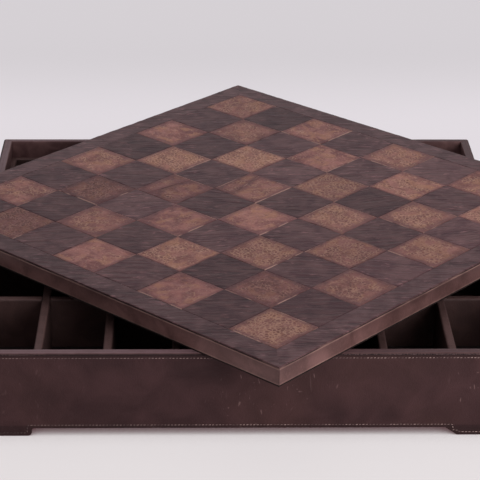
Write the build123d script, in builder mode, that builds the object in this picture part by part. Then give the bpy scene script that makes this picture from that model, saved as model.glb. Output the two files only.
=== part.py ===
"""Leather-covered chess box: an open case of compartments with a loose playing board on its rim.

Millimetres. The origin is the middle of the case's footprint on the table, +X to the right,
+Y away from the front, +Z up. The board lies on the rim, turned and off centre, as it is put
down while the compartments are in use. Turned square, it drops into the recess inside the rim.
"""
import os
from math import cos, radians, sin
from build123d import *

# ---- the playing board ----
squares_per_side = 8
square = 50.0                # pitch of the squares
seam = 0.3                   # open seam between two leather squares
border_width = 21.0
board_thickness = 17.0       # over all, leather and lining included
border_round = 0.5           # worn outer edge of the border leather
board_turn = -43.2           # degrees about +Z, from square with the case
board_x = 13.0               # where the middle of the board lies
board_y = 28.0

# ---- leather, lining and wood ----
leather = 1.2                # hide, wherever it covers wood
lining = 0.8                 # suede under the board, under the case and on its floor
wall_board = 6.0             # wooden walls of the case
bottom_board = 3.0           # plywood bottom
bottom_housing = 3.0         # how far the bottom is let into the walls

# ---- the case ----
board_clearance = 0.75       # each side, between the seated board and the rim
body_height = 66.0           # from the lower edge of the leather to the top of the rim
rim_lap = 0.4                # how far the rim leather comes down outside the wooden wall
rim_round = 1.5              # where the rim leather bends over

# ---- the feet ----
foot_height = 7.0            # from the table to the lower edge of the leather
foot_length = 61.0           # from the corner of the case, along each side
foot_width = 15.0            # across each leg of the corner bracket
foot_toe = 3.2               # rounding at the toe
foot_hollow = 2.2            # rounding where the foot runs into the side
pad_thickness = 1.0          # felt under each foot
pad_inset = 1.5
hide_clearance = 0.4         # between the table and the hide outside the feet, which hides the pads

# ---- the compartments ----
columns = 8
inner_row = 88.3             # length of a compartment in the two middle rows
divider = 7.2                # covered thickness of a divider
divider_round = 1.8          # rounding of the covered top edges
tray_wall = 4.5              # covered strip round the inside, which the seated board rests on
housing_depth = 1.5          # how far the dividers are let into the tray walls
joint_clearance = 0.1        # round a divider in its slots and housings

# ---- worked out from the sizes above ----
field = squares_per_side * square
board_half = field / 2 + border_width
board_core_half = board_half - leather
border_inner = (field + seam) / 2
board_top_wood = board_thickness - leather
opening_half = board_half + board_clearance
core_inner = opening_half + leather
core_outer = core_inner + wall_board
case_half = core_outer + leather
rim_top = foot_height + body_height
core_top = rim_top - leather
leather_top = core_top - rim_lap
ledge = rim_top - board_thickness
core_bottom = foot_height + lining
bottom_top = core_bottom + bottom_board
floor_top = bottom_top + lining
tray_height = ledge - floor_top
half_joint = floor_top + tray_height / 2
tray_half = opening_half - tray_wall
divider_reach = tray_half + housing_depth - joint_clearance
column_pitch = (2 * tray_half + divider) / columns
row_pitch = inner_row + divider
slot_width = divider + 2 * joint_clearance

sides = {"front": 0, "right": 90, "back": 180, "left": 270}
board_sides = {"rank_1": 0, "file_h": 90, "rank_8": 180, "file_a": 270}
column_places = [column_pitch * (i - columns / 2) for i in range(1, columns)]
row_places = {"front": -row_pitch, "middle": 0.0, "back": row_pitch}
board_seat = (board_x, board_y, rim_top)


def outward(turn):
    """Direction out of one side of a square, turned about +Z from the front."""
    return Vector(sin(radians(turn)), -cos(radians(turn)), 0)


def across(turn, centre=(0, 0, 0)):
    """Plane across a side: its x runs outward from the centre, its y runs up."""
    return Plane(origin=centre, x_dir=outward(turn), z_dir=outward(turn - 90))


def facing(turn, distance):
    """Plane that faces out of a side at a distance: its x runs along the side, its y runs up."""
    return Plane(origin=outward(turn) * distance, x_dir=outward(turn + 90), z_dir=outward(turn))


def strip(inner, outer, low, high, mode=Mode.ADD):
    """Rectangle of a section, from inner to outer across and from low to high."""
    with Locations((inner, low)):
        Rectangle(outer - inner, high - low, align=Align.MIN, mode=mode)


def run_to_mitres(turn, reach, centre=(0, 0, 0)):
    """Run a section along its side and cut both ends to 45 degrees at the corners."""
    extrude(amount=reach, both=True)
    for lean in (-45, 45):
        split(bisect_by=Plane(origin=centre, z_dir=outward(turn + lean)), keep=Keep.TOP)


def round_top(piece, along, radius):
    """Round the long top edges of a covered board."""
    fillet(piece.edges().filter_by(along).group_by(Axis.Z)[-1], radius=radius)


def save(piece, name):
    piece.part.label = name
    export_step(piece.part, f"parts/{name}.step")


os.makedirs("parts", exist_ok=True)

# ---------------------------------------------------------------- the wooden case
for side, turn in sides.items():
    with BuildPart() as wall:
        with BuildSketch(across(turn)):
            strip(core_inner, core_outer, core_bottom, core_top)
            strip(core_inner, core_inner + bottom_housing, core_bottom, bottom_top, Mode.SUBTRACT)
        run_to_mitres(turn, core_outer)
    save(wall, f"{side}_wall")

with BuildPart() as bottom_panel:
    panel_side = 2 * (core_inner + bottom_housing)
    with BuildSketch(Plane.XY.offset(core_bottom)):
        Rectangle(panel_side, panel_side)
    extrude(amount=bottom_board)
save(bottom_panel, "bottom_panel")

with BuildPart() as underside_cover:
    with BuildSketch(Plane.XY.offset(foot_height)):
        Rectangle(2 * core_outer, 2 * core_outer)
    extrude(amount=lining)
save(underside_cover, "underside_cover")

with BuildPart() as compartment_floor:
    with BuildSketch(Plane.XY.offset(bottom_top)):
        Rectangle(2 * core_inner, 2 * core_inner)
    extrude(amount=lining)
save(compartment_floor, "compartment_floor")

# ---------------------------------------------------------------- the leather of the case
toe = min(foot_toe, 0.9 * (foot_height - pad_thickness))
for side, turn in sides.items():
    with BuildPart() as cover:
        with BuildSketch(across(turn)):
            strip(core_outer, case_half, hide_clearance, leather_top)
        run_to_mitres(turn, case_half)
        with BuildSketch(facing(turn, case_half)):
            Rectangle(2 * (case_half - foot_length), 2 * foot_height)
        extrude(amount=-leather, mode=Mode.SUBTRACT)
        through = cover.edges().filter_by(Axis((0, 0, 0), outward(turn)))
        fillet(through.group_by(Axis.Z)[0], radius=toe)
        fillet(through.group_by(Axis.Z)[-1], radius=foot_hollow)
    save(cover, f"{side}_leather")

for side, turn in sides.items():
    with BuildPart() as rim:
        with BuildSketch(across(turn)) as bend:
            strip(opening_half, case_half, floor_top, rim_top)
            strip(core_inner, core_outer, floor_top, core_top, Mode.SUBTRACT)
            strip(core_outer, case_half, floor_top, leather_top, Mode.SUBTRACT)
            fillet(bend.vertices().group_by(Axis.Y)[-1], radius=rim_round)
        run_to_mitres(turn, case_half)
    save(rim, f"{side}_rim")

# ---------------------------------------------------------------- the feet
for corner, (sign_x, sign_y) in {
    "front_left": (-1, -1),
    "front_right": (1, -1),
    "back_left": (-1, 1),
    "back_right": (1, 1),
}.items():
    outer_corner = (sign_x * core_outer, sign_y * core_outer)
    leg = foot_length - leather
    toward_middle = (Align.MAX if sign_x > 0 else Align.MIN, Align.MAX if sign_y > 0 else Align.MIN)
    with BuildPart() as foot:
        with BuildSketch(Plane.XY.offset(pad_thickness)):
            with Locations(outer_corner):
                Rectangle(leg, foot_width, align=toward_middle)
                Rectangle(foot_width, leg, align=toward_middle)
        extrude(amount=foot_height - pad_thickness)
        sole = foot.edges().group_by(Axis.Z)[0]
        toe_x = sole.filter_by(Axis.Y).sort_by(Axis.X, reverse=sign_x > 0)[-1]
        toe_y = sole.filter_by(Axis.X).sort_by(Axis.Y, reverse=sign_y > 0)[-1]
        fillet([toe_x, toe_y], radius=toe)
    save(foot, f"{corner}_foot")

    with BuildPart() as pad:
        with BuildSketch(Plane.XY):
            with Locations(outer_corner):
                Rectangle(leg - toe, foot_width, align=toward_middle)
                Rectangle(foot_width, leg - toe, align=toward_middle)
            offset(amount=-pad_inset, kind=Kind.INTERSECTION)
        extrude(amount=pad_thickness)
    save(pad, f"{corner}_pad")

# ---------------------------------------------------------------- the compartments
for side, turn in sides.items():
    places = column_places if side in ("front", "back") else list(row_places.values())
    with BuildPart() as tray:
        with BuildSketch(across(turn)):
            strip(tray_half, opening_half, floor_top, ledge)
        run_to_mitres(turn, opening_half)
        inner_edge = tray.edges().filter_by(Axis((0, 0, 0), outward(turn + 90)))
        inner_edge = inner_edge.group_by(Axis.Z)[-1].sort_by(Axis((0, 0, 0), outward(turn)))[0]
        fillet(inner_edge, radius=divider_round)
        with BuildSketch(facing(turn, tray_half)):
            with Locations(*[(place, floor_top) for place in places]):
                Rectangle(slot_width, tray_height, align=(Align.CENTER, Align.MIN))
        extrude(amount=housing_depth, mode=Mode.SUBTRACT)
    save(tray, f"{side}_tray_wall")

for number, place in enumerate(column_places, start=1):
    with BuildPart() as column:
        with BuildSketch(Plane.YZ.offset(place)):
            strip(-divider_reach, divider_reach, floor_top, ledge)
            with Locations(*[(row, floor_top) for row in row_places.values()]):
                Rectangle(slot_width, half_joint + joint_clearance - floor_top,
                          align=(Align.CENTER, Align.MIN), mode=Mode.SUBTRACT)
        extrude(amount=divider / 2, both=True)
        round_top(column, Axis.Y, divider_round)
    save(column, f"column_divider_{number}")

for row, place in row_places.items():
    with BuildPart() as cross:
        with BuildSketch(Plane.XZ.offset(-place)):
            strip(-divider_reach, divider_reach, floor_top, ledge)
            with Locations(*[(column, ledge) for column in column_places]):
                Rectangle(slot_width, ledge - half_joint + joint_clearance,
                          align=(Align.CENTER, Align.MAX), mode=Mode.SUBTRACT)
        extrude(amount=divider / 2, both=True)
        round_top(cross, Axis.X, divider_round)
    save(cross, f"{row}_cross_divider")

# ---------------------------------------------------------------- the playing board
board_plane = Plane(origin=board_seat, x_dir=outward(board_turn + 90), z_dir=(0, 0, 1))

with BuildPart() as board_lining:
    with BuildSketch(board_plane):
        Rectangle(2 * board_half, 2 * board_half)
    extrude(amount=lining)
save(board_lining, "board_lining")

with BuildPart() as board_core:
    with BuildSketch(board_plane.offset(lining)):
        Rectangle(2 * board_core_half, 2 * board_core_half)
    extrude(amount=board_top_wood - lining)
save(board_core, "board_core")

for side, turn in board_sides.items():
    with BuildPart() as edge_strip:
        with BuildSketch(across(board_turn + turn, board_seat)):
            strip(board_core_half, board_half, lining, board_top_wood)
        run_to_mitres(board_turn + turn, board_half, board_seat)
    save(edge_strip, f"{side}_edge")

    with BuildPart() as border:
        with BuildSketch(across(board_turn + turn, board_seat)) as border_section:
            strip(border_inner, board_half, board_top_wood, board_thickness)
            fillet(border_section.vertices().group_by(Axis.Y)[-1].sort_by(Axis.X)[-1],
                   radius=border_round)
        run_to_mitres(board_turn + turn, board_half, board_seat)
    save(border, f"{side}_border")

# a dark square stands in the corner where the first file meets the first rank
for shade, parity in {"dark": 0, "light": 1}.items():
    centres = [
        ((file + 0.5) * square - field / 2, (rank + 0.5) * square - field / 2)
        for file in range(squares_per_side)
        for rank in range(squares_per_side)
        if (file + rank) % 2 == parity
    ]
    with BuildPart() as inlay:
        with BuildSketch(board_plane.offset(board_top_wood)):
            with Locations(*centres):
                Rectangle(square - seam, square - seam)
        extrude(amount=leather)
    save(inlay, f"{shade}_squares")
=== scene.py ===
"""Dresses a leather-covered chess box: an open case of compartments with a loose playing board.

Metres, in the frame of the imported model: the case's footprint is centred on the origin, +X to the
right, +Y away from the front, +Z up. The board lies on the rim, turned and off centre.
"""
import random
from math import atan2, copysign, cos, degrees, hypot, pi, radians, sin
import bpy
from mathutils import Matrix, Vector, noise


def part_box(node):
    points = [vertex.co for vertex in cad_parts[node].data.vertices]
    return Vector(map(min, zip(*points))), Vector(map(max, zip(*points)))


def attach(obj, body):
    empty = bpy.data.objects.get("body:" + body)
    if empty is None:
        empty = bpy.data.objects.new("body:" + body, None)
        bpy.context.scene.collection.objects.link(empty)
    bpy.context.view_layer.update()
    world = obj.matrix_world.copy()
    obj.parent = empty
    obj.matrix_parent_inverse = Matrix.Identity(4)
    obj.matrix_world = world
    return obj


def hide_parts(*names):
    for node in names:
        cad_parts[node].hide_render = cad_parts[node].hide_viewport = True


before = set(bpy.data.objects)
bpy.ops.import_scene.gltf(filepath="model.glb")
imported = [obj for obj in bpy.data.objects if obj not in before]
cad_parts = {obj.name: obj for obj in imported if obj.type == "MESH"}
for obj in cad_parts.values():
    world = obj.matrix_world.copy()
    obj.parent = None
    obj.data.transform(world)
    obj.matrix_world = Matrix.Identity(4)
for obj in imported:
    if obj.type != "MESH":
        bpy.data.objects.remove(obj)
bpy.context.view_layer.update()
mm = 0.001


# ---------------------------------------------------------------- wooden case and feet
# The case is a tray of thin wooden walls, mitred at the corners, with a plywood bottom let into a
# rebate and an L-shaped bracket glued under each corner. Leather hides all of it but the inner
# faces of the feet, which are stained dark.

class Finish:
    """A material in the making: its principled shader and the textures wired to it."""

    def __init__(self, name, **sockets):
        self.material = bpy.data.materials.new(name)
        self.material.use_nodes = True
        self.tree = self.material.node_tree
        self.shader = self.tree.nodes["Principled BSDF"]
        self.place = self.node("ShaderNodeTexCoord").outputs["Object"]
        for socket, value in sockets.items():
            label = socket.replace("_", " ").title().replace("Ior", "IOR")
            self.shader.inputs[label].default_value = value

    def node(self, kind, wires=None, **settings):
        made = self.tree.nodes.new(kind)
        for name, value in settings.items():
            setattr(made, name, value)
        for name, value in (wires or {}).items():
            self.wire(made.inputs[name], value)
        return made

    def wire(self, socket, value):
        if isinstance(value, bpy.types.NodeSocket):
            self.tree.links.new(value, socket)
        else:
            socket.default_value = value

    def axes(self, vector=None):
        """The X, Y and Z of a vector, or of the place on the piece."""
        return self.node("ShaderNodeSeparateXYZ", {"Vector": vector or self.place}).outputs

    def upward(self):
        """How far the surface faces up, from -1 to 1."""
        return self.axes(self.node("ShaderNodeNewGeometry").outputs["Normal"])["Z"]

    def stretched(self, scale, turn=(0, 0, 0), place=None):
        """The place on the piece, turned by degrees about X, Y and Z, and stretched."""
        rotation = tuple(radians(angle) for angle in turn)
        wires = {"Vector": place or self.place, "Rotation": rotation, "Scale": scale}
        return self.node("ShaderNodeMapping", wires, vector_type="TEXTURE").outputs[0]

    def cloud(self, size, detail=3.0, rough=0.5, place=None, warp=0.0):
        """Soft noise with blotches of about this size in metres."""
        wires = {
            "Vector": place or self.place,
            "Scale": 1 / size,
            "Detail": detail,
            "Roughness": rough,
            "Distortion": warp,
        }
        return self.node("ShaderNodeTexNoise", wires).outputs["Fac"]

    def cells(self, size, feature="F1", place=None, loose=1.0):
        """Cells of about this size: their distance field."""
        wires = {"Vector": place or self.place, "Scale": 1 / size, "Randomness": loose}
        return self.node("ShaderNodeTexVoronoi", wires, feature=feature).outputs["Distance"]

    def between(self, value, low, high, to_low=0.0, to_high=1.0):
        """A smooth step as value goes from low to high, which may run downwards."""
        wires = {"Value": value, "From Min": low, "From Max": high, "To Min": to_low, "To Max": to_high}
        return self.node("ShaderNodeMapRange", wires, interpolation_type="SMOOTHSTEP").outputs[0]

    def calc(self, kind, first, second=0.0):
        made = self.node("ShaderNodeMath", operation=kind)
        self.wire(made.inputs[0], first)
        self.wire(made.inputs[1], second)
        return made.outputs[0]

    def mix(self, amount, first, second, blend="MIX"):
        made = self.node("ShaderNodeMix", data_type="RGBA", blend_type=blend)
        self.wire(made.inputs[0], amount)
        for socket, value in ((made.inputs[6], first), (made.inputs[7], second)):
            self.wire(socket, value if isinstance(value, bpy.types.NodeSocket) else (*value, 1.0))
        return made.outputs[2]

    def relief(self, *layers):
        """Raise the surface by each (height, depth in metres) in turn."""
        normal = None
        for height, depth in layers:
            wires = {"Height": height, "Strength": 1.0, "Distance": depth}
            if normal:
                wires["Normal"] = normal
            normal = self.node("ShaderNodeBump", wires).outputs["Normal"]
        self.wire(self.shader.inputs["Normal"], normal)

    def paint(self, colour, roughness=None):
        self.wire(self.shader.inputs["Base Color"], colour)
        if roughness:
            self.wire(self.shader.inputs["Roughness"], roughness)


def ink(red, green, blue):
    """A colour given in screen values of 0 to 255, as the shader wants it."""
    levels = (red, green, blue)
    return tuple(((c / 255 + 0.055) / 1.055) ** 2.4 if c > 10 else c / 3294.6 for c in levels)


def dress(finish, *nodes):
    """Give pieces of the frame their finish."""
    for name in nodes:
        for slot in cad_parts[name].material_slots:
            slot.material = finish.material


SIDES = {"front": 0, "right": 90, "back": 180, "left": 270}
CORNERS = ("front_left", "front_right", "back_left", "back_right")

stained_wood = Finish("stained_wood", roughness=0.6)
grain = stained_wood.cloud(6 * mm, 5.0, place=stained_wood.stretched((12.0, 1.0, 1.0)), warp=0.4)
grain_shade = stained_wood.between(grain, 0.35, 0.7)
stained_wood.paint(stained_wood.mix(grain_shade, ink(52, 38, 32), ink(84, 62, 48)))
stained_wood.relief((grain, 0.3 * mm))
dress(stained_wood, *(f"{corner}_foot" for corner in CORNERS))

bare_wood = Finish("bare_wood", roughness=0.65)
grain = bare_wood.cloud(5 * mm, 6.0, place=bare_wood.stretched((14.0, 1.0, 1.0)), warp=0.5)
grain_shade = bare_wood.between(grain, 0.3, 0.7)
bare_wood.paint(bare_wood.mix(grain_shade, ink(176, 140, 98), ink(205, 172, 128)))
bare_wood.relief((grain, 0.2 * mm))
dress(bare_wood, "bottom_panel", *(f"{side}_wall" for side in SIDES))


# ---------------------------------------------------------------- suede linings and felt pads
# Thin dark brown suede is glued under the case, on the floor of the compartments and under the
# board, and a pad of felt is stuck under each foot. The nap lies in brushed patches.

def napped(name, deep, pale):
    nap = Finish(name, roughness=0.95, specular_ior_level=0.1, sheen_weight=0.05, sheen_roughness=0.5)
    brushed = nap.cloud(22 * mm, 3.0, warp=1.2)
    fibres = nap.cloud(0.9 * mm, 4.0, 0.7)
    lie = nap.calc("ADD", brushed, nap.calc("MULTIPLY", fibres, 0.5))
    nap.paint(nap.mix(nap.between(lie, 0.5, 1.0), deep, pale))
    nap.relief((fibres, 0.25 * mm))
    return nap


suede = napped("suede", ink(26, 17, 17), ink(40, 27, 26))
dress(suede, "underside_cover", "compartment_floor", "board_lining")
felt = napped("felt", ink(28, 24, 24), ink(44, 38, 37))
dress(felt, *(f"{corner}_pad" for corner in CORNERS))


# ---------------------------------------------------------------- tray walls and dividers
# Strips of thin board, each wrapped in dark leather with the fold along the top. They slot into
# each other half and half, and into shallow housings in the strips round the inside. The folds are
# paler than the sides on their upward faces: rubbed in patches, and painted light on the tops.

def covered_board(name, side_colour, fold_colour):
    hide = Finish(name, roughness=0.62, specular_ior_level=0.25)
    mottle = hide.cloud(16 * mm, 4.0, warp=0.8)
    grain = hide.cells(1.3 * mm)
    dark = hide.mix(hide.between(mottle, 0.3, 0.7), tuple(0.72 * c for c in side_colour), side_colour)
    rub = hide.between(hide.cloud(9 * mm, 3.0), 0.25, 0.6, 0.55, 1.0)
    # The folds' upward faces take the paler colour: rubbed patches, and painted light on the tops.
    fold = hide.calc("MULTIPLY", hide.between(hide.upward(), 0.35, 0.95), rub)
    hide.paint(hide.mix(fold, dark, fold_colour))
    hide.relief((mottle, 0.5 * mm), (grain, 0.12 * mm))
    return hide


divider_hide = covered_board("divider_hide", ink(68, 47, 45), ink(84, 61, 59))
dividers = [f"column_divider_{number}" for number in range(1, 8)]
dividers += [f"{row}_cross_divider" for row in ("front", "middle", "back")]
dress(divider_hide, *dividers, *(f"{side}_tray_wall" for side in SIDES))


# ---------------------------------------------------------------- leather on the outside
# One panel of waxed chocolate hide a side, cut to the outline of the feet, glued to the wood and
# sewn along both edges. It turns the corners on a small round and meets its neighbour in a seam.

class Side:
    """One side of a square of strips or panels, mitred at the corners and rounded outside."""

    def __init__(self, turn, half, corner, centre=(0.0, 0.0)):
        self.turn = radians(turn)
        self.half = half
        self.corner = corner
        self.centre = centre

    def at(self, t, inward, up):
        """The point at t from -1 to 1 along the side, inward from the outer face, and up."""
        straight = (self.half - self.corner) / self.half
        radius = self.corner - inward
        out = self.half - inward
        if radius <= 0:
            along = t * out
        elif abs(t) <= straight:
            along = t * self.half
        else:
            bend = (abs(t) - straight) / (1 - straight) * pi / 4
            along = copysign(self.half - self.corner + radius * sin(bend), t)
            out = self.half - self.corner + radius * cos(bend)
        x = self.centre[0] + along * cos(self.turn) + out * sin(self.turn)
        y = self.centre[1] + along * sin(self.turn) - out * cos(self.turn)
        return Vector((x, y, up))


def waviness(place, size, seed=0.0, octaves=3):
    """Soft noise from 0 to 1 at a place."""
    shifted = Vector(place) / size + Vector((seed, 2 * seed, -seed))
    return min(1.0, max(0.0, 0.5 + 0.5 * noise.fractal(shifted, 0.9, 2.1, octaves)))


def make_piece(name, body, replaced, vertices, faces, finish):
    """A mesh piece that rides on a body, in place of nodes of the frame."""
    mesh = bpy.data.meshes.new(name)
    mesh.from_pydata([tuple(v) for v in vertices], [], faces)
    mesh.materials.append(finish.material)
    mesh.shade_smooth()
    mesh.update()
    piece = bpy.data.objects.new(name, mesh)
    bpy.context.scene.collection.objects.link(piece)
    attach(piece, body)
    if replaced:
        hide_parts(*replaced)
    return piece


case_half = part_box("right_leather")[1].x
cover_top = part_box("front_leather")[1].z
cover_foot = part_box("front_leather")[0].z
cover_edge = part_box("underside_cover")[0].z
foot_end = -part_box("front_left_foot")[1].x
cover_thickness = 1.0 * mm
cover_bevel = 0.35 * mm
corner_round = 1.8 * mm
toe_round = 3.2 * mm
foot_hollow = 2.2 * mm
right_foot_longer = 10 * mm
right_foot_slant = 5.5 * mm
corner_columns = [0.35 * mm * step for step in range(6)]


def arc(centre_x, centre_z, radius, start, end, steps):
    """Points along an arc, between two angles in degrees."""
    for step in range(steps + 1):
        angle = radians(start + (end - start) * step / steps)
        yield centre_x + radius * cos(angle), centre_z + radius * sin(angle)


def foot_outline(end, slant):
    """The lower edge of a panel from its corner to its middle, as (along, up)."""
    low, high = cover_foot, cover_edge
    foot = [(-case_half + step, low) for step in corner_columns]
    foot += [(-case_half + 3.5 * mm * step, low) for step in range(1, 17)]
    foot = [p for p in foot if p[0] < -end - slant - toe_round - 1 * mm]
    lean = 45 if slant else 0
    foot += arc(-end - slant - toe_round, low + toe_round, toe_round, -90, -lean, 6)
    foot += arc(-end + foot_hollow, high - foot_hollow, foot_hollow, 180 - lean, 90, 5)
    steps = 50
    reach = end - foot_hollow
    return foot + [(-reach * (1 - step / steps), high) for step in range(1, steps)]


def lower_outline():
    """The whole lower edge from left to right: the right foot is cut longer, and slants."""
    left = foot_outline(foot_end, 0.0)
    right = foot_outline(foot_end - right_foot_longer, right_foot_slant)
    return left + [(0.0, cover_edge)] + [(-x, z) for x, z in reversed(right)]


chocolate = Finish("chocolate_hide", specular_ior_level=0.12)
sides_mottle = chocolate.cloud(34 * mm, 5.0, 0.55, warp=0.6)
waxed = chocolate.cloud(120 * mm, 2.0)
pores = chocolate.cells(1.1 * mm)
fine = chocolate.cloud(1.6 * mm, 5.0, 0.65)
colour = chocolate.mix(chocolate.between(sides_mottle, 0.28, 0.72), ink(48, 30, 31), ink(63, 41, 42))
colour = chocolate.mix(chocolate.between(waxed, 0.4, 0.7, 0.0, 0.3), colour, ink(78, 52, 49))
along, _, height = chocolate.axes()
# Darker in narrow bands along the lower edge and just under the top edge.
low_edge_band = chocolate.between(height, cover_edge + 3.2 * mm, cover_edge + 1.2 * mm)
high_edge_band = chocolate.between(height, cover_top - 2 * mm, cover_top - 0.6 * mm)
edge_bands = chocolate.calc("MULTIPLY", chocolate.calc("ADD", low_edge_band, high_edge_band), 0.55)
colour = chocolate.mix(edge_bands, colour, ink(34, 21, 22))
scuffed = chocolate.between(chocolate.cloud(70 * mm, 2.0), 0.48, 0.60)
fewer_left = chocolate.between(along, -90 * mm, -10 * mm, 0.25, 1.0)
scuffed = chocolate.calc("MULTIPLY", scuffed, fewer_left)
scratches = (  # lean in degrees, width, length over width, strength
    (14, 3.4 * mm, 6, 0.7),
    (-9, 2.6 * mm, 5, 0.8),
    (48, 2.8 * mm, 6, 0.5),
    (-4, 3.0 * mm, 24, 0.35),
)
for lean, size, length, amount in scratches:
    upright = chocolate.stretched((1.0, 1.0, length), (lean, lean, 0))
    scratch = chocolate.cloud(size, 2.0, 0.4, place=upright)
    mark = chocolate.calc("MULTIPLY", chocolate.between(scratch, 0.70, 0.78, 0.0, amount), scuffed)
    colour = chocolate.mix(mark, colour, ink(108, 84, 82))
chocolate.paint(colour, chocolate.between(fine, 0.2, 0.8, 0.5, 0.66))
chocolate.relief((sides_mottle, 1.2 * mm), (fine, 0.22 * mm), (pores, 0.1 * mm))


def cover_depth(t, up, side_number):
    """How far the hide sinks under a flat face, in long and short waves."""
    place = (t * case_half, up, side_number * 3.0)
    long_wave = 0.22 * mm * waviness(place, 55 * mm, side_number)
    short_wave = 0.10 * mm * waviness(place, 9 * mm, side_number)
    return long_wave + short_wave


seam_gap = 0.06 * mm
outline = lower_outline()
across, corner = len(outline), len(corner_columns)
rows = [0.0, 0.012, 0.03, 0.055, 0.09, 0.14]
rows += [0.14 + 0.82 * i / 16 for i in range(1, 16)] + [0.96, 0.985, 1.0]
reach = 1.0 - seam_gap / case_half
for number, (side, turn) in enumerate(SIDES.items()):
    panel = Side(turn, case_half, corner_round)
    vertices = []
    for row in rows:
        for k, (along, low) in enumerate(outline):
            spread = (k - corner + 1) / (across - 2 * corner + 1)
            level = outline[corner - 1][0] * (1 - 2 * spread)
            if k < corner or k >= across - corner:
                level = along
            t = (along * (1 - row) + level * row) / case_half
            t = max(-reach, min(reach, t))
            up = low + (cover_top - low) * row
            vertices.append(panel.at(t, cover_depth(t, up, number), up))
    faces = [
        (row * across + k, row * across + k + 1, (row + 1) * across + k + 1, (row + 1) * across + k)
        for row in range(len(rows) - 1)
        for k in range(across - 1)
    ]
    replaced = [f"{side}_leather"]
    cover = make_piece(f"{side}_cover", "case", replaced, vertices, faces, chocolate)
    skin = cover.modifiers.new("thickness of the hide", "SOLIDIFY")
    skin.thickness = cover_thickness
    skin.offset = -1.0
    bevel = cover.modifiers.new("softened edges", "BEVEL")
    bevel.width = cover_bevel
    bevel.segments = 2
    bevel.limit_method = "ANGLE"
    bevel.angle_limit = radians(50)
    bevel.harden_normals = False


# ---------------------------------------------------------------- stitches in the leather
# Each side's panel is sewn with tan thread, one row near its top edge and one that follows the feet.
# Each stitch leans a little and sits proud of the hide. The thread is grimy in patches, and is darker
# towards the left and darkest low on the left foot.

thread = Finish("tan_thread", roughness=0.8)
twist = thread.cloud(0.4 * mm, 2.0)
grimy = thread.between(thread.cloud(6 * mm, 3.0, 0.6), 0.42, 0.58)
clean = thread.mix(twist, ink(112, 90, 87), ink(160, 136, 129))
tan = thread.mix(grimy, thread.mix(twist, ink(70, 52, 50), ink(96, 76, 73)), clean)
along, _, height = thread.axes()
# Darker towards the left, and darkest on the lowest stitches of the left foot.
on_foot = thread.between(height, cover_edge + 2 * mm, cover_edge, 0.0, 0.85)
darkest_low_left = thread.calc("MULTIPLY", thread.between(along, -165 * mm, -180 * mm), on_foot)
darker_leftwards = thread.between(along, 20 * mm, -140 * mm, 0.0, 0.4)
thread.paint(thread.mix(darkest_low_left, thread.mix(darker_leftwards, tan, ink(62, 45, 44)), ink(48, 33, 33)))

stitch_offset = 2.75 * mm
top_stitch_drop = 2.35 * mm
stitch_pitch = 2.7 * mm
stitch_length = 1.9 * mm
thread_radius = 0.36 * mm
thread_sides = 6
stitch_rings = (  # along the stitch, how proud, how thick
    (-0.5, -0.15, 0.35),
    (-0.38, 0.35, 0.85),
    (0.0, 0.6, 1.0),
    (0.38, 0.35, 0.85),
    (0.5, -0.15, 0.35),
)
right_hollow_shift = 9 * mm
right_toe_shift = 4.5 * mm


def along_path(points, pitch):
    """Even steps along a line of points: each step's place and direction."""
    steps = []
    spare = 0.0
    for (x0, z0), (x1, z1) in zip(points, points[1:]):
        length = hypot(x1 - x0, z1 - z0)
        if length == 0:
            continue
        way = (x1 - x0) / length, (z1 - z0) / length
        spot = spare
        while spot < length:
            steps.append((x0 + way[0] * spot, z0 + way[1] * spot, way))
            spot += pitch
        spare = spot - length
    return steps


def foot_stitch_line():
    """The lower row of stitches: along the foot, up its inner end and along the edge."""
    x = foot_end + stitch_offset + 0.8 * mm
    low = cover_foot + stitch_offset - 0.2 * mm
    high = cover_edge + stitch_offset
    bend = 1.8 * mm
    left = [(-case_half + 4 * mm, low), (-x - bend, low)]
    left += arc(-x - bend, low + bend, bend, -90, 0, 4)
    left += arc(-x + bend, high - bend, bend, 180, 90, 4)
    shifts = [0.0] + [right_toe_shift] * 5 + [right_hollow_shift] * (len(left) - 6)
    longer = [(px + shift, pz) for (px, pz), shift in zip(left, shifts)]
    return left + [(-px, pz) for px, pz in reversed(longer)]


random.seed(11)
for side, turn in SIDES.items():
    panel = Side(turn, case_half, corner_round)
    top = cover_top - top_stitch_drop
    top_row = [(-case_half + 3 * mm, top), (case_half - 3 * mm, top)]
    vertices, faces = [], []
    for path in (top_row, foot_stitch_line()):
        for x, z, way in along_path(path, stitch_pitch):
            tilt = radians(random.uniform(4, 12))
            way = (way[0] * cos(tilt) - way[1] * sin(tilt), way[0] * sin(tilt) + way[1] * cos(tilt))
            length = stitch_length * random.uniform(0.85, 1.08)
            start = len(vertices)
            for reach_along, lift, width in stitch_rings:
                for step in range(thread_sides):
                    angle = 2 * pi * step / thread_sides
                    side_step = thread_radius * width * cos(angle)
                    px = x + way[0] * reach_along * length - way[1] * side_step
                    pz = z + way[1] * reach_along * length + way[0] * side_step
                    height = thread_radius * (lift + width * sin(angle) - 0.35)
                    vertices.append(panel.at(px / case_half, 0.1 * mm - height, pz))
            last = start + thread_sides * (len(stitch_rings) - 1)
            for first in range(start, last, thread_sides):
                for step in range(thread_sides):
                    a = first + step
                    b = first + (step + 1) % thread_sides
                    faces.append((a, a + thread_sides, b + thread_sides, b))
            faces.append(tuple(start + step for step in range(thread_sides)))
            faces.append(tuple(last + step for step in reversed(range(thread_sides))))
    make_piece(f"{side}_stitches", "case", [], vertices, faces, thread)


# ---------------------------------------------------------------- leather over the rim
# A strip of the same hide a side, folded over the top of the wall, lapped a little down the
# outside and run down the inside to the floor. It is mitred at the corners. Its top is rubbed in
# patches, and painted paler towards the left and darker towards the right as light and shade. The
# outer bend carries painted shade in fine crinkles, and the outer lap painted shade at its edge.

rim_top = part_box("front_rim")[1].z
rim_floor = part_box("front_rim")[0].z
rim_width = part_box("front_rim")[1].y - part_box("front_rim")[0].y
rim_lap_edge = cover_top + 0.12 * mm

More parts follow.
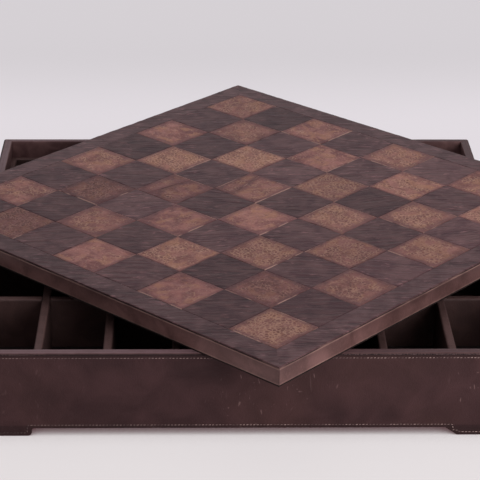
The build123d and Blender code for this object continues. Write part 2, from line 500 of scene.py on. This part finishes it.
rim_hide = Finish("rim_hide", roughness=0.6, specular_ior_level=0.12)
mottle = rim_hide.cloud(12 * mm, 4.0, warp=0.8)
grain = rim_hide.cells(1.0 * mm)
worn = rim_hide.between(rim_hide.upward(), 0.86, 1.0)
worn = rim_hide.calc("MULTIPLY", worn, rim_hide.between(mottle, 0.2, 0.6, 0.7, 1.0))
body = rim_hide.mix(rim_hide.between(mottle, 0.3, 0.7), ink(82, 57, 57), ink(102, 74, 73))
along, deep, height = rim_hide.axes()
# On the upward faces, in rubbed patches, the colour runs from paler at the left to darker at the right:
# painted light and shade.
rubbed = rim_hide.mix(rim_hide.between(along, -60 * mm, 120 * mm), ink(104, 80, 84), ink(76, 55, 57))
from_middle = rim_hide.calc("MAXIMUM", rim_hide.calc("ABSOLUTE", along), rim_hide.calc("ABSOLUTE", deep))
within = rim_hide.between(from_middle, case_half - 2.0 * mm, case_half - 3.0 * mm)
# Painted shade on the lowest part of the outer lap, at its edge.
outside = rim_hide.between(height, rim_lap_edge + 1.3 * mm, rim_lap_edge + 0.4 * mm, 0.0, 0.85)
outside = rim_hide.calc("MULTIPLY", outside, rim_hide.calc("SUBTRACT", 1.0, within))
body = rim_hide.mix(outside, rim_hide.mix(worn, body, rubbed), ink(30, 20, 21))
# Along the outer bend, in patches, fine crinkles are painted: painted shade in their creases, paler crests
# between; the bend has no crinkles in its shape.
crinkle = rim_hide.cloud(1.5 * mm, 2.0, 0.6)
bent = rim_hide.between(height, rim_top - 0.5 * mm, rim_top - 1.2 * mm, 0.0, 0.75)
bent = rim_hide.calc("MULTIPLY", bent, rim_hide.between(rim_hide.cloud(110 * mm, 1.0), 0.44, 0.56))
shadow = rim_hide.mix(1.0, body, (0.4, 0.38, 0.38), "MULTIPLY")
crinkle_shade_and_highlight = rim_hide.mix(rim_hide.between(crinkle, 0.42, 0.56), shadow, ink(92, 71, 71))
above_lap = rim_hide.calc("GREATER_THAN", height, rim_lap_edge)
body = rim_hide.mix(rim_hide.calc("MULTIPLY", bent, above_lap), body, crinkle_shade_and_highlight)
shown = rim_hide.calc("MAXIMUM", within, rim_hide.between(height, rim_lap_edge - 1 * mm, rim_lap_edge))
rim_hide.paint(rim_hide.mix(shown, ink(52, 36, 35), body))
rim_hide.relief((mottle, 0.4 * mm), (grain, 0.1 * mm))


def rim_section():
    """Closed outline of the folded strip, as (inward from the outer face, up)."""
    turn_over = 2.8 * mm
    bend = 0.9 * mm
    hide = 1.0 * mm
    outline = [(hide, rim_lap_edge), (0.6 * mm, rim_lap_edge), (0.35 * mm, rim_lap_edge + 0.15 * mm)]
    for angle in (32, 41, 50, 59, 68, 79, 90):
        a = radians(angle)
        outline.append((turn_over * (1 - cos(a)), rim_top - 0.1 * mm - turn_over * (1 - sin(a))))
    creased = ((0.40, 0.04), (0.47, 0.05), (0.51, 0.30), (0.55, 0.05), (0.64, 0.0), (0.78, 0.0))
    outline += [(rim_width * place, rim_top - sink * mm) for place, sink in creased]
    for a in (0.0, 0.4, 0.8, 1.2):
        outline.append((rim_width - bend + bend * sin(a), rim_top - bend + bend * cos(a)))
    levels = [0.003, 0.008, 0.016, 0.028, 0.045]
    outline += [(rim_width, rim_top - level) for level in levels] + [(rim_width, rim_floor)]
    inside = rim_width - hide
    outline += [(inside, rim_floor), (inside, rim_top - hide - 0.3 * mm), (hide, rim_top - hide - 0.3 * mm)]
    return outline


def stations(half, corner, step, gap=0.05 * mm):
    """Places from -1 to 1 along a side, closer together round the corners."""
    straight = (half - corner) / half
    count = int(2 * half / step)
    middle = [straight * (-1 + 2 * i / count) for i in range(count + 1)]
    reach = 1 - gap / half
    bends = [straight + (reach - straight) * i / 4 for i in range(1, 5)]
    return [-t for t in reversed(bends)] + middle + bends


def run_strip(side, section, places, ripple):
    """Sweep a closed section along a side: its points, moved by ripple, and its faces."""
    vertices, faces = [], []
    for t in places:
        for inward, up in section:
            vertices.append(side.at(t, *ripple(t, inward, up)))
    around = len(section)
    for i in range(len(places) - 1):
        for j in range(around):
            k = (j + 1) % around
            faces.append((i * around + j, (i + 1) * around + j, (i + 1) * around + k, i * around + k))
    faces.append(tuple(range(around)))
    last = (len(places) - 1) * around
    faces.append(tuple(last + j for j in reversed(range(around))))
    return vertices, faces


for number, (side, turn) in enumerate(SIDES.items()):
    def rim_ripple(t, inward, up):
        sag = 0.12 * mm * waviness((t * case_half, inward, up + number), 14 * mm, number)
        return inward, up - (sag if up > rim_top - 3 * mm else 0)

    strip = Side(turn, case_half, corner_round)
    places = stations(case_half, corner_round, 4 * mm)
    vertices, faces = run_strip(strip, rim_section(), places, rim_ripple)
    make_piece(f"{side}_rim_fold", "case", [f"{side}_rim"], vertices, faces, rim_hide)


# ---------------------------------------------------------------- the board: core and edge strips
# A fibreboard panel, coloured dark to read as painted shade in the gaps between the squares, with a
# strip of smooth brown hide round its edge. The strips are skived where they meet at the corners
# and under the border, which leaves a narrow gap at both, painted dark as shade there. Their arrises
# are rubbed pale in patches, partly as painted highlight, and their upper part and the reaches towards
# the right of the case carry painted shade.

board_low, board_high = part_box("board_core")
board_centre = ((board_low.x + board_high.x) / 2, (board_low.y + board_high.y) / 2)
board_corner = max((v.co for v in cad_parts["board_core"].data.vertices), key=lambda p: p.x)
board_turn = degrees(atan2(board_corner.y - board_centre[1], board_corner.x - board_centre[0])) - 45
core_half = hypot(board_corner.x - board_centre[0], board_corner.y - board_centre[1]) / 2 ** 0.5
hide_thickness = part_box("dark_squares")[1].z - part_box("dark_squares")[0].z
board_half = core_half + hide_thickness
edge_low, edge_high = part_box("rank_1_edge")[0].z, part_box("rank_1_edge")[1].z
board_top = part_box("dark_squares")[1].z
BOARD_SIDES = {"rank_1": 0, "file_h": 90, "rank_8": 180, "file_a": 270}

# The core is coloured dark so that it reads as painted shade in the gaps between the squares.
fibreboard = Finish("fibreboard", roughness=0.85)
chips = fibreboard.cloud(1.5 * mm, 4.0, 0.7)
fibreboard.paint(fibreboard.mix(chips, ink(52, 38, 32), ink(78, 60, 48)))
fibreboard.relief((chips, 0.2 * mm))
dress(fibreboard, "board_core")

edge_hide = Finish("edge_hide", roughness=0.55, specular_ior_level=0.3)
mottle = edge_hide.cloud(26 * mm, 4.0, warp=0.6)
fine = edge_hide.cloud(2.2 * mm, 5.0, 0.6)
along, _, up = edge_hide.axes()
brown = edge_hide.mix(edge_hide.between(mottle, 0.3, 0.7), ink(79, 52, 50), ink(108, 76, 73))
brown = edge_hide.mix(edge_hide.between(fine, 0.45, 0.8, 0.0, 0.4), brown, ink(118, 86, 81))
shaded = edge_hide.mix(1.0, brown, (0.72, 0.70, 0.71), "MULTIPLY")
brown = edge_hide.mix(edge_hide.between(up, edge_low + 15 * mm, edge_low + 4 * mm), shaded, brown)
shaded = edge_hide.mix(1.0, brown, (0.52, 0.49, 0.50), "MULTIPLY")
brown = edge_hide.mix(edge_hide.between(along, 70 * mm, 290 * mm, 0.0, 0.85), brown, shaded)
# The arrises are rubbed pale in patches, and the pale stands partly for painted highlight, strongest on the
# lower arris.
low_arris = edge_hide.between(up, edge_low + 2.0 * mm, edge_low + 0.8 * mm)
high_arris = edge_hide.between(up, edge_high - 2.3 * mm, edge_high - 1.4 * mm)
rubbed = edge_hide.calc("ADD", low_arris, high_arris)
rubbed = edge_hide.calc("MULTIPLY", rubbed, edge_hide.between(mottle, 0.35, 0.6, 0.25, 0.65))
brown = edge_hide.mix(rubbed, brown, ink(138, 106, 98))
# Painted shade: a dark line in the narrow gap under the border where it is open, and at the skived joints
# of the corners.
groove_shade = edge_hide.between(up, edge_high - 1.2 * mm, edge_high - 0.8 * mm)
open_here = edge_hide.between(edge_hide.cloud(60 * mm, 2.0), 0.56, 0.44, 0.25, 1.0)
groove_shade = edge_hide.calc("MULTIPLY", groove_shade, open_here)
joint = edge_hide.node("ShaderNodeAttribute", attribute_name="joint").outputs["Fac"]
edge_hide.paint(edge_hide.mix(edge_hide.calc("MAXIMUM", groove_shade, joint), brown, ink(34, 21, 20)))
edge_hide.relief((mottle, 0.5 * mm), (fine, 0.15 * mm))


def edge_section():
    """Closed outline of an edge strip, as (inward from the outer face, up)."""
    low, high = edge_low + 0.05 * mm, edge_high - 0.1 * mm
    side_top = high - 0.95 * mm
    outline = [(0.95, low), (0.55, low), (0.16, low + 0.12 * mm), (0.03, low + 0.45 * mm)]
    outline += [(0.0, low + (side_top - low) * f) for f in (0.1, 0.2, 0.3, 0.45, 0.6, 0.75, 0.88, 0.96)]
    outline += [(0.08, side_top), (0.38, side_top + 0.22 * mm), (0.65, side_top + 0.42 * mm), (0.95, high)]
    return [(inward * mm, up) for inward, up in outline]


skived = 1.4 * mm
for number, (side, turn) in enumerate(BOARD_SIDES.items()):
    def end_of_strip(t):
        """From 0 to 1 over the skived end."""
        return max(0.0, 1 - (1 - abs(t)) * board_half / skived)

    def edge_ripple(t, inward, up):
        wave = 0.16 * mm * waviness((t * board_half, up, number + 7.0), 30 * mm, number)
        wave += 0.5 * mm * end_of_strip(t) ** 2
        return inward + 0.04 * mm + (wave if inward < 0.9 * mm else 0), up

    strip = Side(board_turn + turn, board_half, skived / 2, board_centre)
    places = stations(board_half, skived, 4 * mm, 0.15 * mm)
    vertices, faces = run_strip(strip, edge_section(), places, edge_ripple)
    name, slot = f"{side}_edge_strip", "board_edge_leather"
    piece = make_piece(name, "board", [f"{side}_edge"], vertices, faces, edge_hide)
    # Painted shade at the skived joints where the strips meet.
    joint_shade = [end_of_strip(t) ** 1.5 for t in places for _ in edge_section()]
    piece.data.attributes.new("joint", "FLOAT", "POINT").data.foreach_set("value", joint_shade)


# ---------------------------------------------------------------- the board: border leather
# Four strips of dark wrinkled hide with mitred corners. Their cut outer edge shows as a thin pale
# line above the edge strip.


def hide_place(hide):
    """Where a shader looks for the grain: each cut piece carries its own, as it came off the skin."""
    return hide.node("ShaderNodeAttribute", attribute_name="place on the skin").outputs["Vector"]


def carried(hide, name):
    return hide.node("ShaderNodeAttribute", attribute_name=name).outputs["Fac"]


def edge_lines(length, spacing):
    """Places from 0 to 1 across a cut piece, crowded towards its two edges."""
    near = [0.0, 0.15 * mm, 0.45 * mm, 1.0 * mm]
    count = max(2, round((length - 2 * near[-1]) / spacing))
    middle = [near[-1] + (length - 2 * near[-1]) * i / count for i in range(1, count)]
    return [d / length for d in near + middle + [length - d for d in reversed(near)]]


class CutHide:
    """Flat pieces of hide laid side by side on the board, gathered into one mesh."""

    def __init__(self):
        self.vertices = []
        self.faces = []
        self.places = []
        self.values = {"tone": [], "crackle": [], "cut edge": [], "middle": []}

    def add(self, corners, spacing, sink, place, edges, falls, wander=0.0, margin=1 * mm, **values):
        """A slab over four corners (anticlockwise), sunk by a function of its place.

        Each of its edges is raw and pale where edges gives 1, darkened with dye and painted shade of
        the seam where it gives -1, and drops by its own fall. The cut wanders inside the line by up to
        wander, and a margin along it is darker. Values are carried to the material as they are.
        """
        a, b, c, d = corners
        inward = [(q - p).normalized() for p, q in ((a, d), (b, a), (d, a), (a, b))]
        length = ((b - a).length + (c - d).length) / 2
        width = ((d - a).length + (c - b).length) / 2
        columns = edge_lines(length, spacing)
        rows = edge_lines(width, spacing)
        start = len(self.vertices)
        for v in rows:
            for u in columns:
                point = (a * (1 - u) + b * u) * (1 - v) + (d * (1 - u) + c * u) * v
                gaps = (v * width, (1 - u) * length, (1 - v) * width, u * length)
                drop = max(fall * max(0.0, 1 - gap / (0.75 * mm)) ** 2 for gap, fall in zip(gaps, falls))
                marks = []
                for k, (gap, strength) in enumerate(zip(gaps, edges)):
                    shown = min(1.0, 3 * max(0.0, waviness(point, 14 * mm, 3.0 + 5 * k) - 0.36))
                    marks.append(strength * max(0.0, 1 - gap / (1.3 * mm)) * shown)
                self.values["cut edge"].append(max(marks) + min(0.0, min(marks)))
                inside = sum((gap + 0.1 * mm) ** -2 for gap in gaps) ** -0.5
                self.values["middle"].append(min(1.0, inside / margin))
                self.places.append(place(point))
                for k, (gap, way) in enumerate(zip(gaps, inward)):
                    near = max(0.0, 1 - gap / (3 * mm))
                    point = point + way * wander * waviness(point, 11 * mm, 31.0 + k) * near
                self.vertices.append(Vector((point.x, point.y, board_top - drop - sink(point))))
        across = len(columns)
        last = len(rows) - 1
        for row in range(last):
            for k in range(across - 1):
                i = start + row * across + k
                self.faces.append((i, i + 1, i + 1 + across, i + across))
        rim = [start + k for k in range(across)]
        rim += [start + row * across + across - 1 for row in range(1, last + 1)]
        rim += [start + last * across + k for k in reversed(range(across - 1))]
        rim += [start + row * across for row in reversed(range(1, last))]
        low = len(self.vertices)
        for i in rim:
            point = self.vertices[i]
            self.vertices.append(Vector((point.x, point.y, board_top - hide_thickness + 0.02 * mm)))
            self.places.append(self.places[i])
            for name in ("cut edge", "middle"):
                self.values[name].append(self.values[name][i])
        for k in range(len(rim)):
            after = (k + 1) % len(rim)
            self.faces.append((rim[k], low + k, low + after, rim[after]))
        self.faces.append(tuple(low + k for k in reversed(range(len(rim)))))
        for name, value in values.items():
            self.values[name] += [value] * (len(self.vertices) - start)

    def piece(self, name, slot, replaced, finish):
        made = make_piece(name, "board", replaced, self.vertices, self.faces, finish)
        skin = made.data.attributes.new("place on the skin", "FLOAT_VECTOR", "POINT")
        skin.data.foreach_set("vector", [c for p in self.places for c in p])
        for key, values in self.values.items():
            if values:
                made.data.attributes.new(key, "FLOAT", "POINT").data.foreach_set("value", values)
        return made


def on_board(x, y):
    """A point of the board's own plan, from its middle, in the frame."""
    turned = Matrix.Rotation(radians(board_turn), 2) @ Vector((x, y))
    return Vector((turned.x + board_centre[0], turned.y + board_centre[1], board_top))


def folds_along(angle, across, along, depth):
    """Shallow folds of the skin that run at an angle to X: a function giving how far a place sinks."""
    way = Matrix.Rotation(radians(-angle), 3, "Z")

    def sink(point):
        turned = way @ point
        turned.x /= along
        turned.y /= across
        return depth * waviness(turned, 1.0, 17.0)

    return sink


def wrinkled(name, deep, pale, edge_colour):
    """Dark grey-brown hide with long soft wrinkles that lie one way: painted shade in them, painted
    highlight on crests.
    """
    hide = Finish(name, roughness=0.6, specular_ior_level=0.12)
    place = hide_place(hide)
    long_way = hide.stretched((7.0, 1.0, 1.0), place=place)
    short_way = hide.stretched((4.5, 1.0, 1.0), place=place)
    folds = hide.cloud(4 * mm, 3.0, 0.6, place=long_way, warp=0.35)
    blotch = hide.cloud(20 * mm, 3.0, place=place, warp=0.6)
    pores = hide.cells(1.1 * mm, place=place)
    streak = hide.cloud(2.4 * mm, 3.0, 0.62, place=short_way, warp=0.3)
    fine = hide.cloud(1.6 * mm, 3.0, 0.65, place=short_way)
    patch = hide.between(hide.cloud(16 * mm, 2.0, place=place), 0.42, 0.62)
    colour = hide.mix(hide.between(blotch, 0.25, 0.75), deep, pale)
    darker = hide.mix(1.0, colour, (0.82,) * 3, "MULTIPLY")
    colour = hide.mix(hide.between(fine, 0.40, 0.62), darker, colour)
    # Painted shade in the troughs of the folds.
    colour = hide.mix(hide.between(folds, 0.46, 0.36, 0.0, 0.5), colour, tuple(0.42 * c for c in deep))
    # Painted highlight on the crests of the streaks, in patches.
    crest_highlight = hide.calc("MULTIPLY", hide.between(streak, 0.56, 0.64, 0.0, 0.7), patch)
    colour = hide.mix(crest_highlight, colour, tuple(1.8 * c for c in pale))
    darker = hide.mix(1.0, colour, (0.40, 0.35, 0.38), "MULTIPLY")
    colour = hide.mix(carried(hide, "tone"), darker, colour)
    cut = carried(hide, "cut edge")
    colour = hide.mix(hide.between(cut, 0.1, 0.75), colour, edge_colour)
    # Where the cut edge is negative, dye and painted shade of the seam darken it.
    hide.paint(hide.mix(hide.between(cut, -0.1, -0.7), colour, tuple(0.35 * c for c in deep)))
    hide.relief((folds, 0.8 * mm), (streak, 0.4 * mm), (pores, 0.1 * mm))
    return hide


border_hide = wrinkled("border_hide", ink(73, 47, 51), ink(100, 72, 74), ink(128, 104, 98))

far_corner = max((v.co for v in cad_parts["dark_squares"].data.vertices), key=lambda p: p.x)
field_reach = hypot(far_corner.x - board_centre[0], far_corner.y - board_centre[1]) / 2 ** 0.5
seam = 0.14 * mm
border_inner = field_reach + seam
border_sink = folds_along(4, 6 * mm, 24 * mm, 0.45 * mm)
# The inner edge, against the squares, is dark: dye and painted shade of the seam.
border_edges = (0.25, 0.0, -0.3, 0.0)
border_falls = (0.4 * mm, 0.04 * mm, 0.25 * mm, 0.04 * mm)
# Each border strip's tone is set by its side as painted light and shade: darkest along rank 1, then file h,
# rank 8 and file a.
border_shading = {"rank_1": 0.58, "file_h": 0.8, "rank_8": 0.9, "file_a": 1.0}
random.seed(23)
for number, (side, turn) in enumerate(BOARD_SIDES.items()):
    around = Matrix.Rotation(radians(turn), 2)
    outer, inner, gap = board_half - 0.05 * mm, border_inner, 0.03 * mm
    plan = ((-outer + gap, -outer), (outer - gap, -outer), (inner - gap, -inner), (-inner + gap, -inner))
    corners = [on_board(*(around @ Vector(p))) for p in plan]
    shift = Vector((random.uniform(1, 9), random.uniform(1, 9), number))

    def strip_place(point, shift=shift):
        return point + shift

    strip = CutHide()
    tone = border_shading[side]
    strip.add(corners, 1.5 * mm, border_sink, strip_place, border_edges, border_falls, tone=tone)
    strip.piece(f"{side}_border_strip", "border_leather", [f"{side}_border"], border_hide)


# ---------------------------------------------------------------- the board: squares
# Sixty-four squares of hide glued edge to edge. The dark ones are the border's wrinkled hide, laid
# with their wrinkles much the same way. The light ones are a reddish suede-backed hide, rubbed
# through to tan along its crackled grain, each more or less, and a few are pieced from two scraps.

dark_hide = wrinkled("dark_square_hide", ink(78, 48, 54), ink(105, 74, 75), ink(136, 110, 103))

light_hide = Finish("light_square_hide", specular_ior_level=0.14)
place = hide_place(light_hide)
tone = carried(light_hide, "tone")
worn = carried(light_hide, "crackle")
middle = carried(light_hide, "middle")
cut = carried(light_hide, "cut edge")
blotch = light_hide.cloud(17 * mm, 4.0, 0.6, place=place, warp=0.8)
slanting = light_hide.stretched((1.6, 1.0, 1.0), (0, 0, 20), place)
warm = light_hide.cloud(12 * mm, 3.0, 0.6, place=slanting, warp=0.5)
lumps = light_hide.cloud(4.5 * mm, 4.0, 0.6, place=place, warp=0.4)
specks = light_hide.cloud(2.0 * mm, 3.0, 0.7, place=place)
bending = light_hide.node("ShaderNodeTexNoise", {"Vector": place, "Scale": 1 / (3 * mm), "Detail": 2.0})
bent = light_hide.node("ShaderNodeMix", data_type="VECTOR")
light_hide.wire(bent.inputs[0], 1.4 * mm)
light_hide.wire(bent.inputs[4], place)
light_hide.wire(bent.inputs[5], bending.outputs["Color"])
cracks = light_hide.cells(3.1 * mm, "DISTANCE_TO_EDGE", place=bent.outputs[1])
plain = light_hide.mix(light_hide.between(blotch, 0.32, 0.68), ink(108, 67, 66), ink(152, 103, 96))
plain = light_hide.mix(light_hide.between(warm, 0.50, 0.64, 0.0, 0.7), plain, ink(158, 112, 90))
plain = light_hide.mix(light_hide.between(specks, 0.57, 0.68, 0.0, 0.8), plain, ink(172, 132, 120))
plain = light_hide.mix(light_hide.between(specks, 0.42, 0.30, 0.0, 0.6), plain, ink(84, 48, 48))
plain = light_hide.mix(light_hide.calc("MULTIPLY", worn, 0.25), plain, ink(146, 104, 84))
spread = light_hide.cloud(10 * mm, 3.0, 0.6, place=place, warp=0.6)
where = light_hide.calc("ADD", spread, light_hide.calc("MULTIPLY", worn, 0.2))
where = light_hide.calc("ADD", where, light_hide.calc("MULTIPLY", middle, 0.12))
where = light_hide.between(where, 0.64, 0.84)
pits = light_hide.calc("MULTIPLY", light_hide.between(cracks, 0.12, 0.34), where)
rubbed = light_hide.mix(light_hide.calc("MULTIPLY", pits, 0.6), plain, ink(92, 52, 48))
lines = light_hide.calc("MULTIPLY", light_hide.between(cracks, 0.13, 0.04), where)
rubbed = light_hide.mix(light_hide.calc("MULTIPLY", lines, 0.75), rubbed, ink(174, 136, 114))
# Within its margin, towards its edges, each light square is duller and darker.
tone_mix = light_hide.mix(0.6, rubbed, ink(96, 64, 68))
inside = light_hide.calc("ADD", middle, light_hide.calc("MULTIPLY", lumps, 0.5))
rubbed = light_hide.mix(light_hide.between(inside, 0.45, 1.1), tone_mix, rubbed)
dulled = light_hide.mix(1.0, rubbed, (0.50, 0.45, 0.52), "MULTIPLY")
colour = light_hide.mix(tone, dulled, rubbed)
colour = light_hide.mix(light_hide.between(cut, 0.1, 0.75, 0.0, 0.8), colour, ink(170, 134, 122))
# Where the cut edge is negative, dye and painted shade of the seam darken it.
colour = light_hide.mix(light_hide.between(cut, -0.1, -0.8, 0.0, 0.8), colour, ink(60, 37, 38))
light_hide.paint(colour, light_hide.between(lumps, 0.3, 0.7, 0.6, 0.78))
light_hide.relief((lumps, 0.6 * mm), (lines, 0.16 * mm), (specks, 0.2 * mm))

files = "abcdefgh"
pitch = (2 * field_reach + seam) / len(files)
# Light squares that stand out on the real board: by how bright they are, how crackled, or both.
toned_squares = {"b1": 0.0, "b3": 0.05, "g2": 0.15, "d5": 0.35, "g4": 0.38, "c4": 0.45, "h3": 0.45}
toned_squares |= {"e6": 0.5, "f3": 0.52, "h1": 0.55, "h5": 0.55, "b7": 0.55, "c2": 0.6, "a8": 0.6}
toned_squares |= {"f7": 1.0}
crackled_squares = {"h1": 1.0, "f3": 0.9, "f5": 0.8, "g6": 0.8, "e6": 0.9, "b5": 0.9, "c6": 0.8, "g4": 0.7}
crackled_squares |= {"h5": 0.6, "b7": 0.6, "a8": 0.5, "e8": 0.6, "e2": 0.6}
smooth_squares = {"e4": 1.0, "a6": 0.95, "f1": 0.57, "d1": 0.8, "d3": 0.7, "c8": 0.85, "d7": 0.9}
# Pieced squares: where the joint meets two sides of the square, and the second scrap's brightness.
pieced_squares = {"c4": (0.28, 0.42, 0.35), "d5": (0.45, 0.2, 0.6)}
random.seed(41)
dark_field, light_field = CutHide(), CutHide()
for file in range(8):
    for rank in range(8):
        square = f"{files[file]}{rank + 1}"
        west = (file - 4) * pitch + seam / 2
        south = (rank - 4) * pitch + seam / 2
        side = pitch - seam
        offset = Vector([random.uniform(-9, 9) for _ in range(3)])
        lie = radians(random.gauss(0, 7))
        chance = random.random()
        edges = [random.uniform(-0.9, 1.1) for _ in range(4)]
        falls = [0.12 * mm + 0.25 * mm * max(0.0, -e) for e in edges]
        margin = mm * random.uniform(2.0, 9.0)
        dark = (file + rank) % 2 == 0
        if not dark:
            lie += random.uniform(0, 2 * pi)
        skin = Matrix.Rotation(-lie, 3, "Z")
        spots = [(west, south), (west + side, south), (west + side, south + side), (west, south + side)]
        a, b, c, d = (on_board(*p) for p in spots)

        def skin_place(point, skin=skin, offset=offset):
            return skin @ point + offset

        if dark:
            sink = folds_along(degrees(lie), 6 * mm, 22 * mm, 0.42 * mm)
            edges = [0.4 * e for e in edges]
            # Each dark square's tone differs at random, plus painted light that brightens the squares
            # towards the right.
            tone_mix = 0.1 + 0.85 * chance + 0.1 * (a.x + c.x) / (200 * mm)
            corners = (a, b, c, d)
            dark_field.add(corners, 1.3 * mm, sink, skin_place, edges, falls, wander=0.15 * mm, tone=tone_mix)
            continue
        tone = toned_squares.get(square, smooth_squares.get(square, 0.7 + 0.3 * chance))
        crackle = crackled_squares.get(square, 0.0 if square in smooth_squares else 0.25 + 0.5 * chance)
        sink = folds_along(degrees(lie), 7 * mm, 9 * mm, 0.26 * mm)
        if square not in pieced_squares:
            light_field.add(
                (a, b, c, d), 1.5 * mm, sink, skin_place, edges, falls,
                wander=0.3 * mm, margin=margin, tone=tone, crackle=crackle,
            )
            continue

        def other_place(point, skin=skin, offset=offset):
            return skin @ point + 1.7 * offset

        near, far, other_tone = pieced_squares[square]
        cut = 0.12 * mm / side
        first = (a, a.lerp(b, near - cut), d.lerp(c, far - cut), d)
        other = (a.lerp(b, near + cut), b, c, d.lerp(c, far + cut))
        for scrap, scrap_place, scrap_tone, scrap_crackle in (
            (first, skin_place, tone, crackle),
            (other, other_place, other_tone, 0.3),
        ):
            light_field.add(
                scrap, 1.6 * mm, sink, scrap_place, edges, falls,
                margin=margin, tone=scrap_tone, crackle=scrap_crackle,
            )
dark_field.piece("dark_tiles", "dark_square_leather", ["dark_squares"], dark_hide)
light_field.piece("light_tiles", "light_square_leather", ["light_squares"], light_hide)


# ---------------------------------------------------------------- the picture
# A pale studio floor that keeps the case's shadow, soft lamps with the key from the right, and the
# camera low in front. The floor shows its own colour, with painted shade towards the back and a
# painted shadow right beside what stands on it.

floor_mesh = bpy.data.meshes.new("studio_floor")
floor_mesh.from_pydata([(-6, -4, 0), (6, -4, 0), (6, 9, 0), (-6, 9, 0)], [], [(0, 1, 2, 3)])
studio_floor = bpy.data.objects.new("studio_floor", floor_mesh)
bpy.context.scene.collection.objects.link(studio_floor)
paper = Finish("studio_paper", roughness=0.9, specular_ior_level=0.1)
depth = paper.axes()["Y"]
tint = paper.mix(paper.between(depth, -0.35, 0.5), ink(230, 224, 225), ink(229, 223, 228))
# Painted shade: the floor's colour darkens towards the back.
tint = paper.mix(paper.between(depth, 0.45, 0.72), tint, ink(214, 209, 213))
paper.paint(tint)
seen = paper.node("ShaderNodeLightPath")
rays = paper.calc("MAXIMUM", seen.outputs["Is Camera Ray"], seen.outputs["Is Glossy Ray"])
rays = paper.calc("MAXIMUM", rays, seen.outputs["Is Transmission Ray"])
# Painted shadow: the floor's own glow darkens towards a warm dark close beside the case.
near_case = paper.node("ShaderNodeAmbientOcclusion", {"Distance": 0.04}, samples=6).outputs["AO"]
open_floor = paper.calc("MULTIPLY", paper.calc("POWER", near_case, 1.25), 2.3)
contact_shadow = paper.calc("MINIMUM", open_floor, 1.0)
glow = paper.node("ShaderNodeEmission", {"Color": paper.mix(contact_shadow, ink(76, 32, 38), tint)})
away = paper.node("ShaderNodeVectorMath", {0: paper.place}, operation="LENGTH").outputs["Value"]
share = paper.between(away, 0.5, 0.9, 0.85, 0.97)
shown = paper.calc("MULTIPLY", rays, share)
lit = paper.node("ShaderNodeMixShader", {0: shown, 1: paper.shader.outputs[0], 2: glow.outputs[0]})
paper.wire(paper.tree.nodes["Material Output"].inputs["Surface"], lit.outputs[0])
floor_mesh.materials.append(paper.material)

for name, place, aim, size, power in (
    ("key", (0.85, -1.08, 0.56), (0.05, 0, 0.05), (0.9, 0.8), 15),
    ("overhead", (0.0, 0.4, 2.3), (0, 0, 0), (2.4, 2.0), 15),
    ("front", (-0.1, -2.0, 2.2), (0, 0, 0.05), (1.8, 1.0), 6),
    ("behind", (0.1, 2.4, 0.95), (0, 0, 0.05), (2.6, 0.8), 14),
):
    lamp = bpy.data.lights.new(name, "AREA")
    lamp.shape = "RECTANGLE"
    lamp.size, lamp.size_y = size
    lamp.energy = power
    holder = bpy.data.objects.new(name, lamp)
    holder.location = place
    holder.rotation_euler = (Vector(aim) - Vector(place)).to_track_quat("-Z", "Y").to_euler()
    bpy.context.scene.collection.objects.link(holder)

world = bpy.data.worlds.new("studio")
world.use_nodes = True
background = world.node_tree.nodes["Background"]
background.inputs["Color"].default_value = (0.93, 0.91, 0.95, 1)
background.inputs["Strength"].default_value = 0.33
bpy.context.scene.world = world
bpy.context.scene.view_settings.view_transform = "Standard"

lens = bpy.data.cameras.new("camera")
lens.lens = 145.69
lens.sensor_width = 36
camera = bpy.data.objects.new("camera", lens)
camera_place = (-0.03596, -1.56813, 0.77230)
yaw, pitch_down, roll = radians(-1.277), radians(24.239), radians(0.477)
aim = Matrix.Rotation(yaw, 4, "Z") @ Matrix.Rotation(pi / 2 - pitch_down, 4, "X")
aim = aim @ Matrix.Rotation(roll, 4, "Z")
camera.matrix_world = Matrix.Translation(camera_place) @ aim
bpy.context.scene.collection.objects.link(camera)
bpy.context.scene.camera = camera
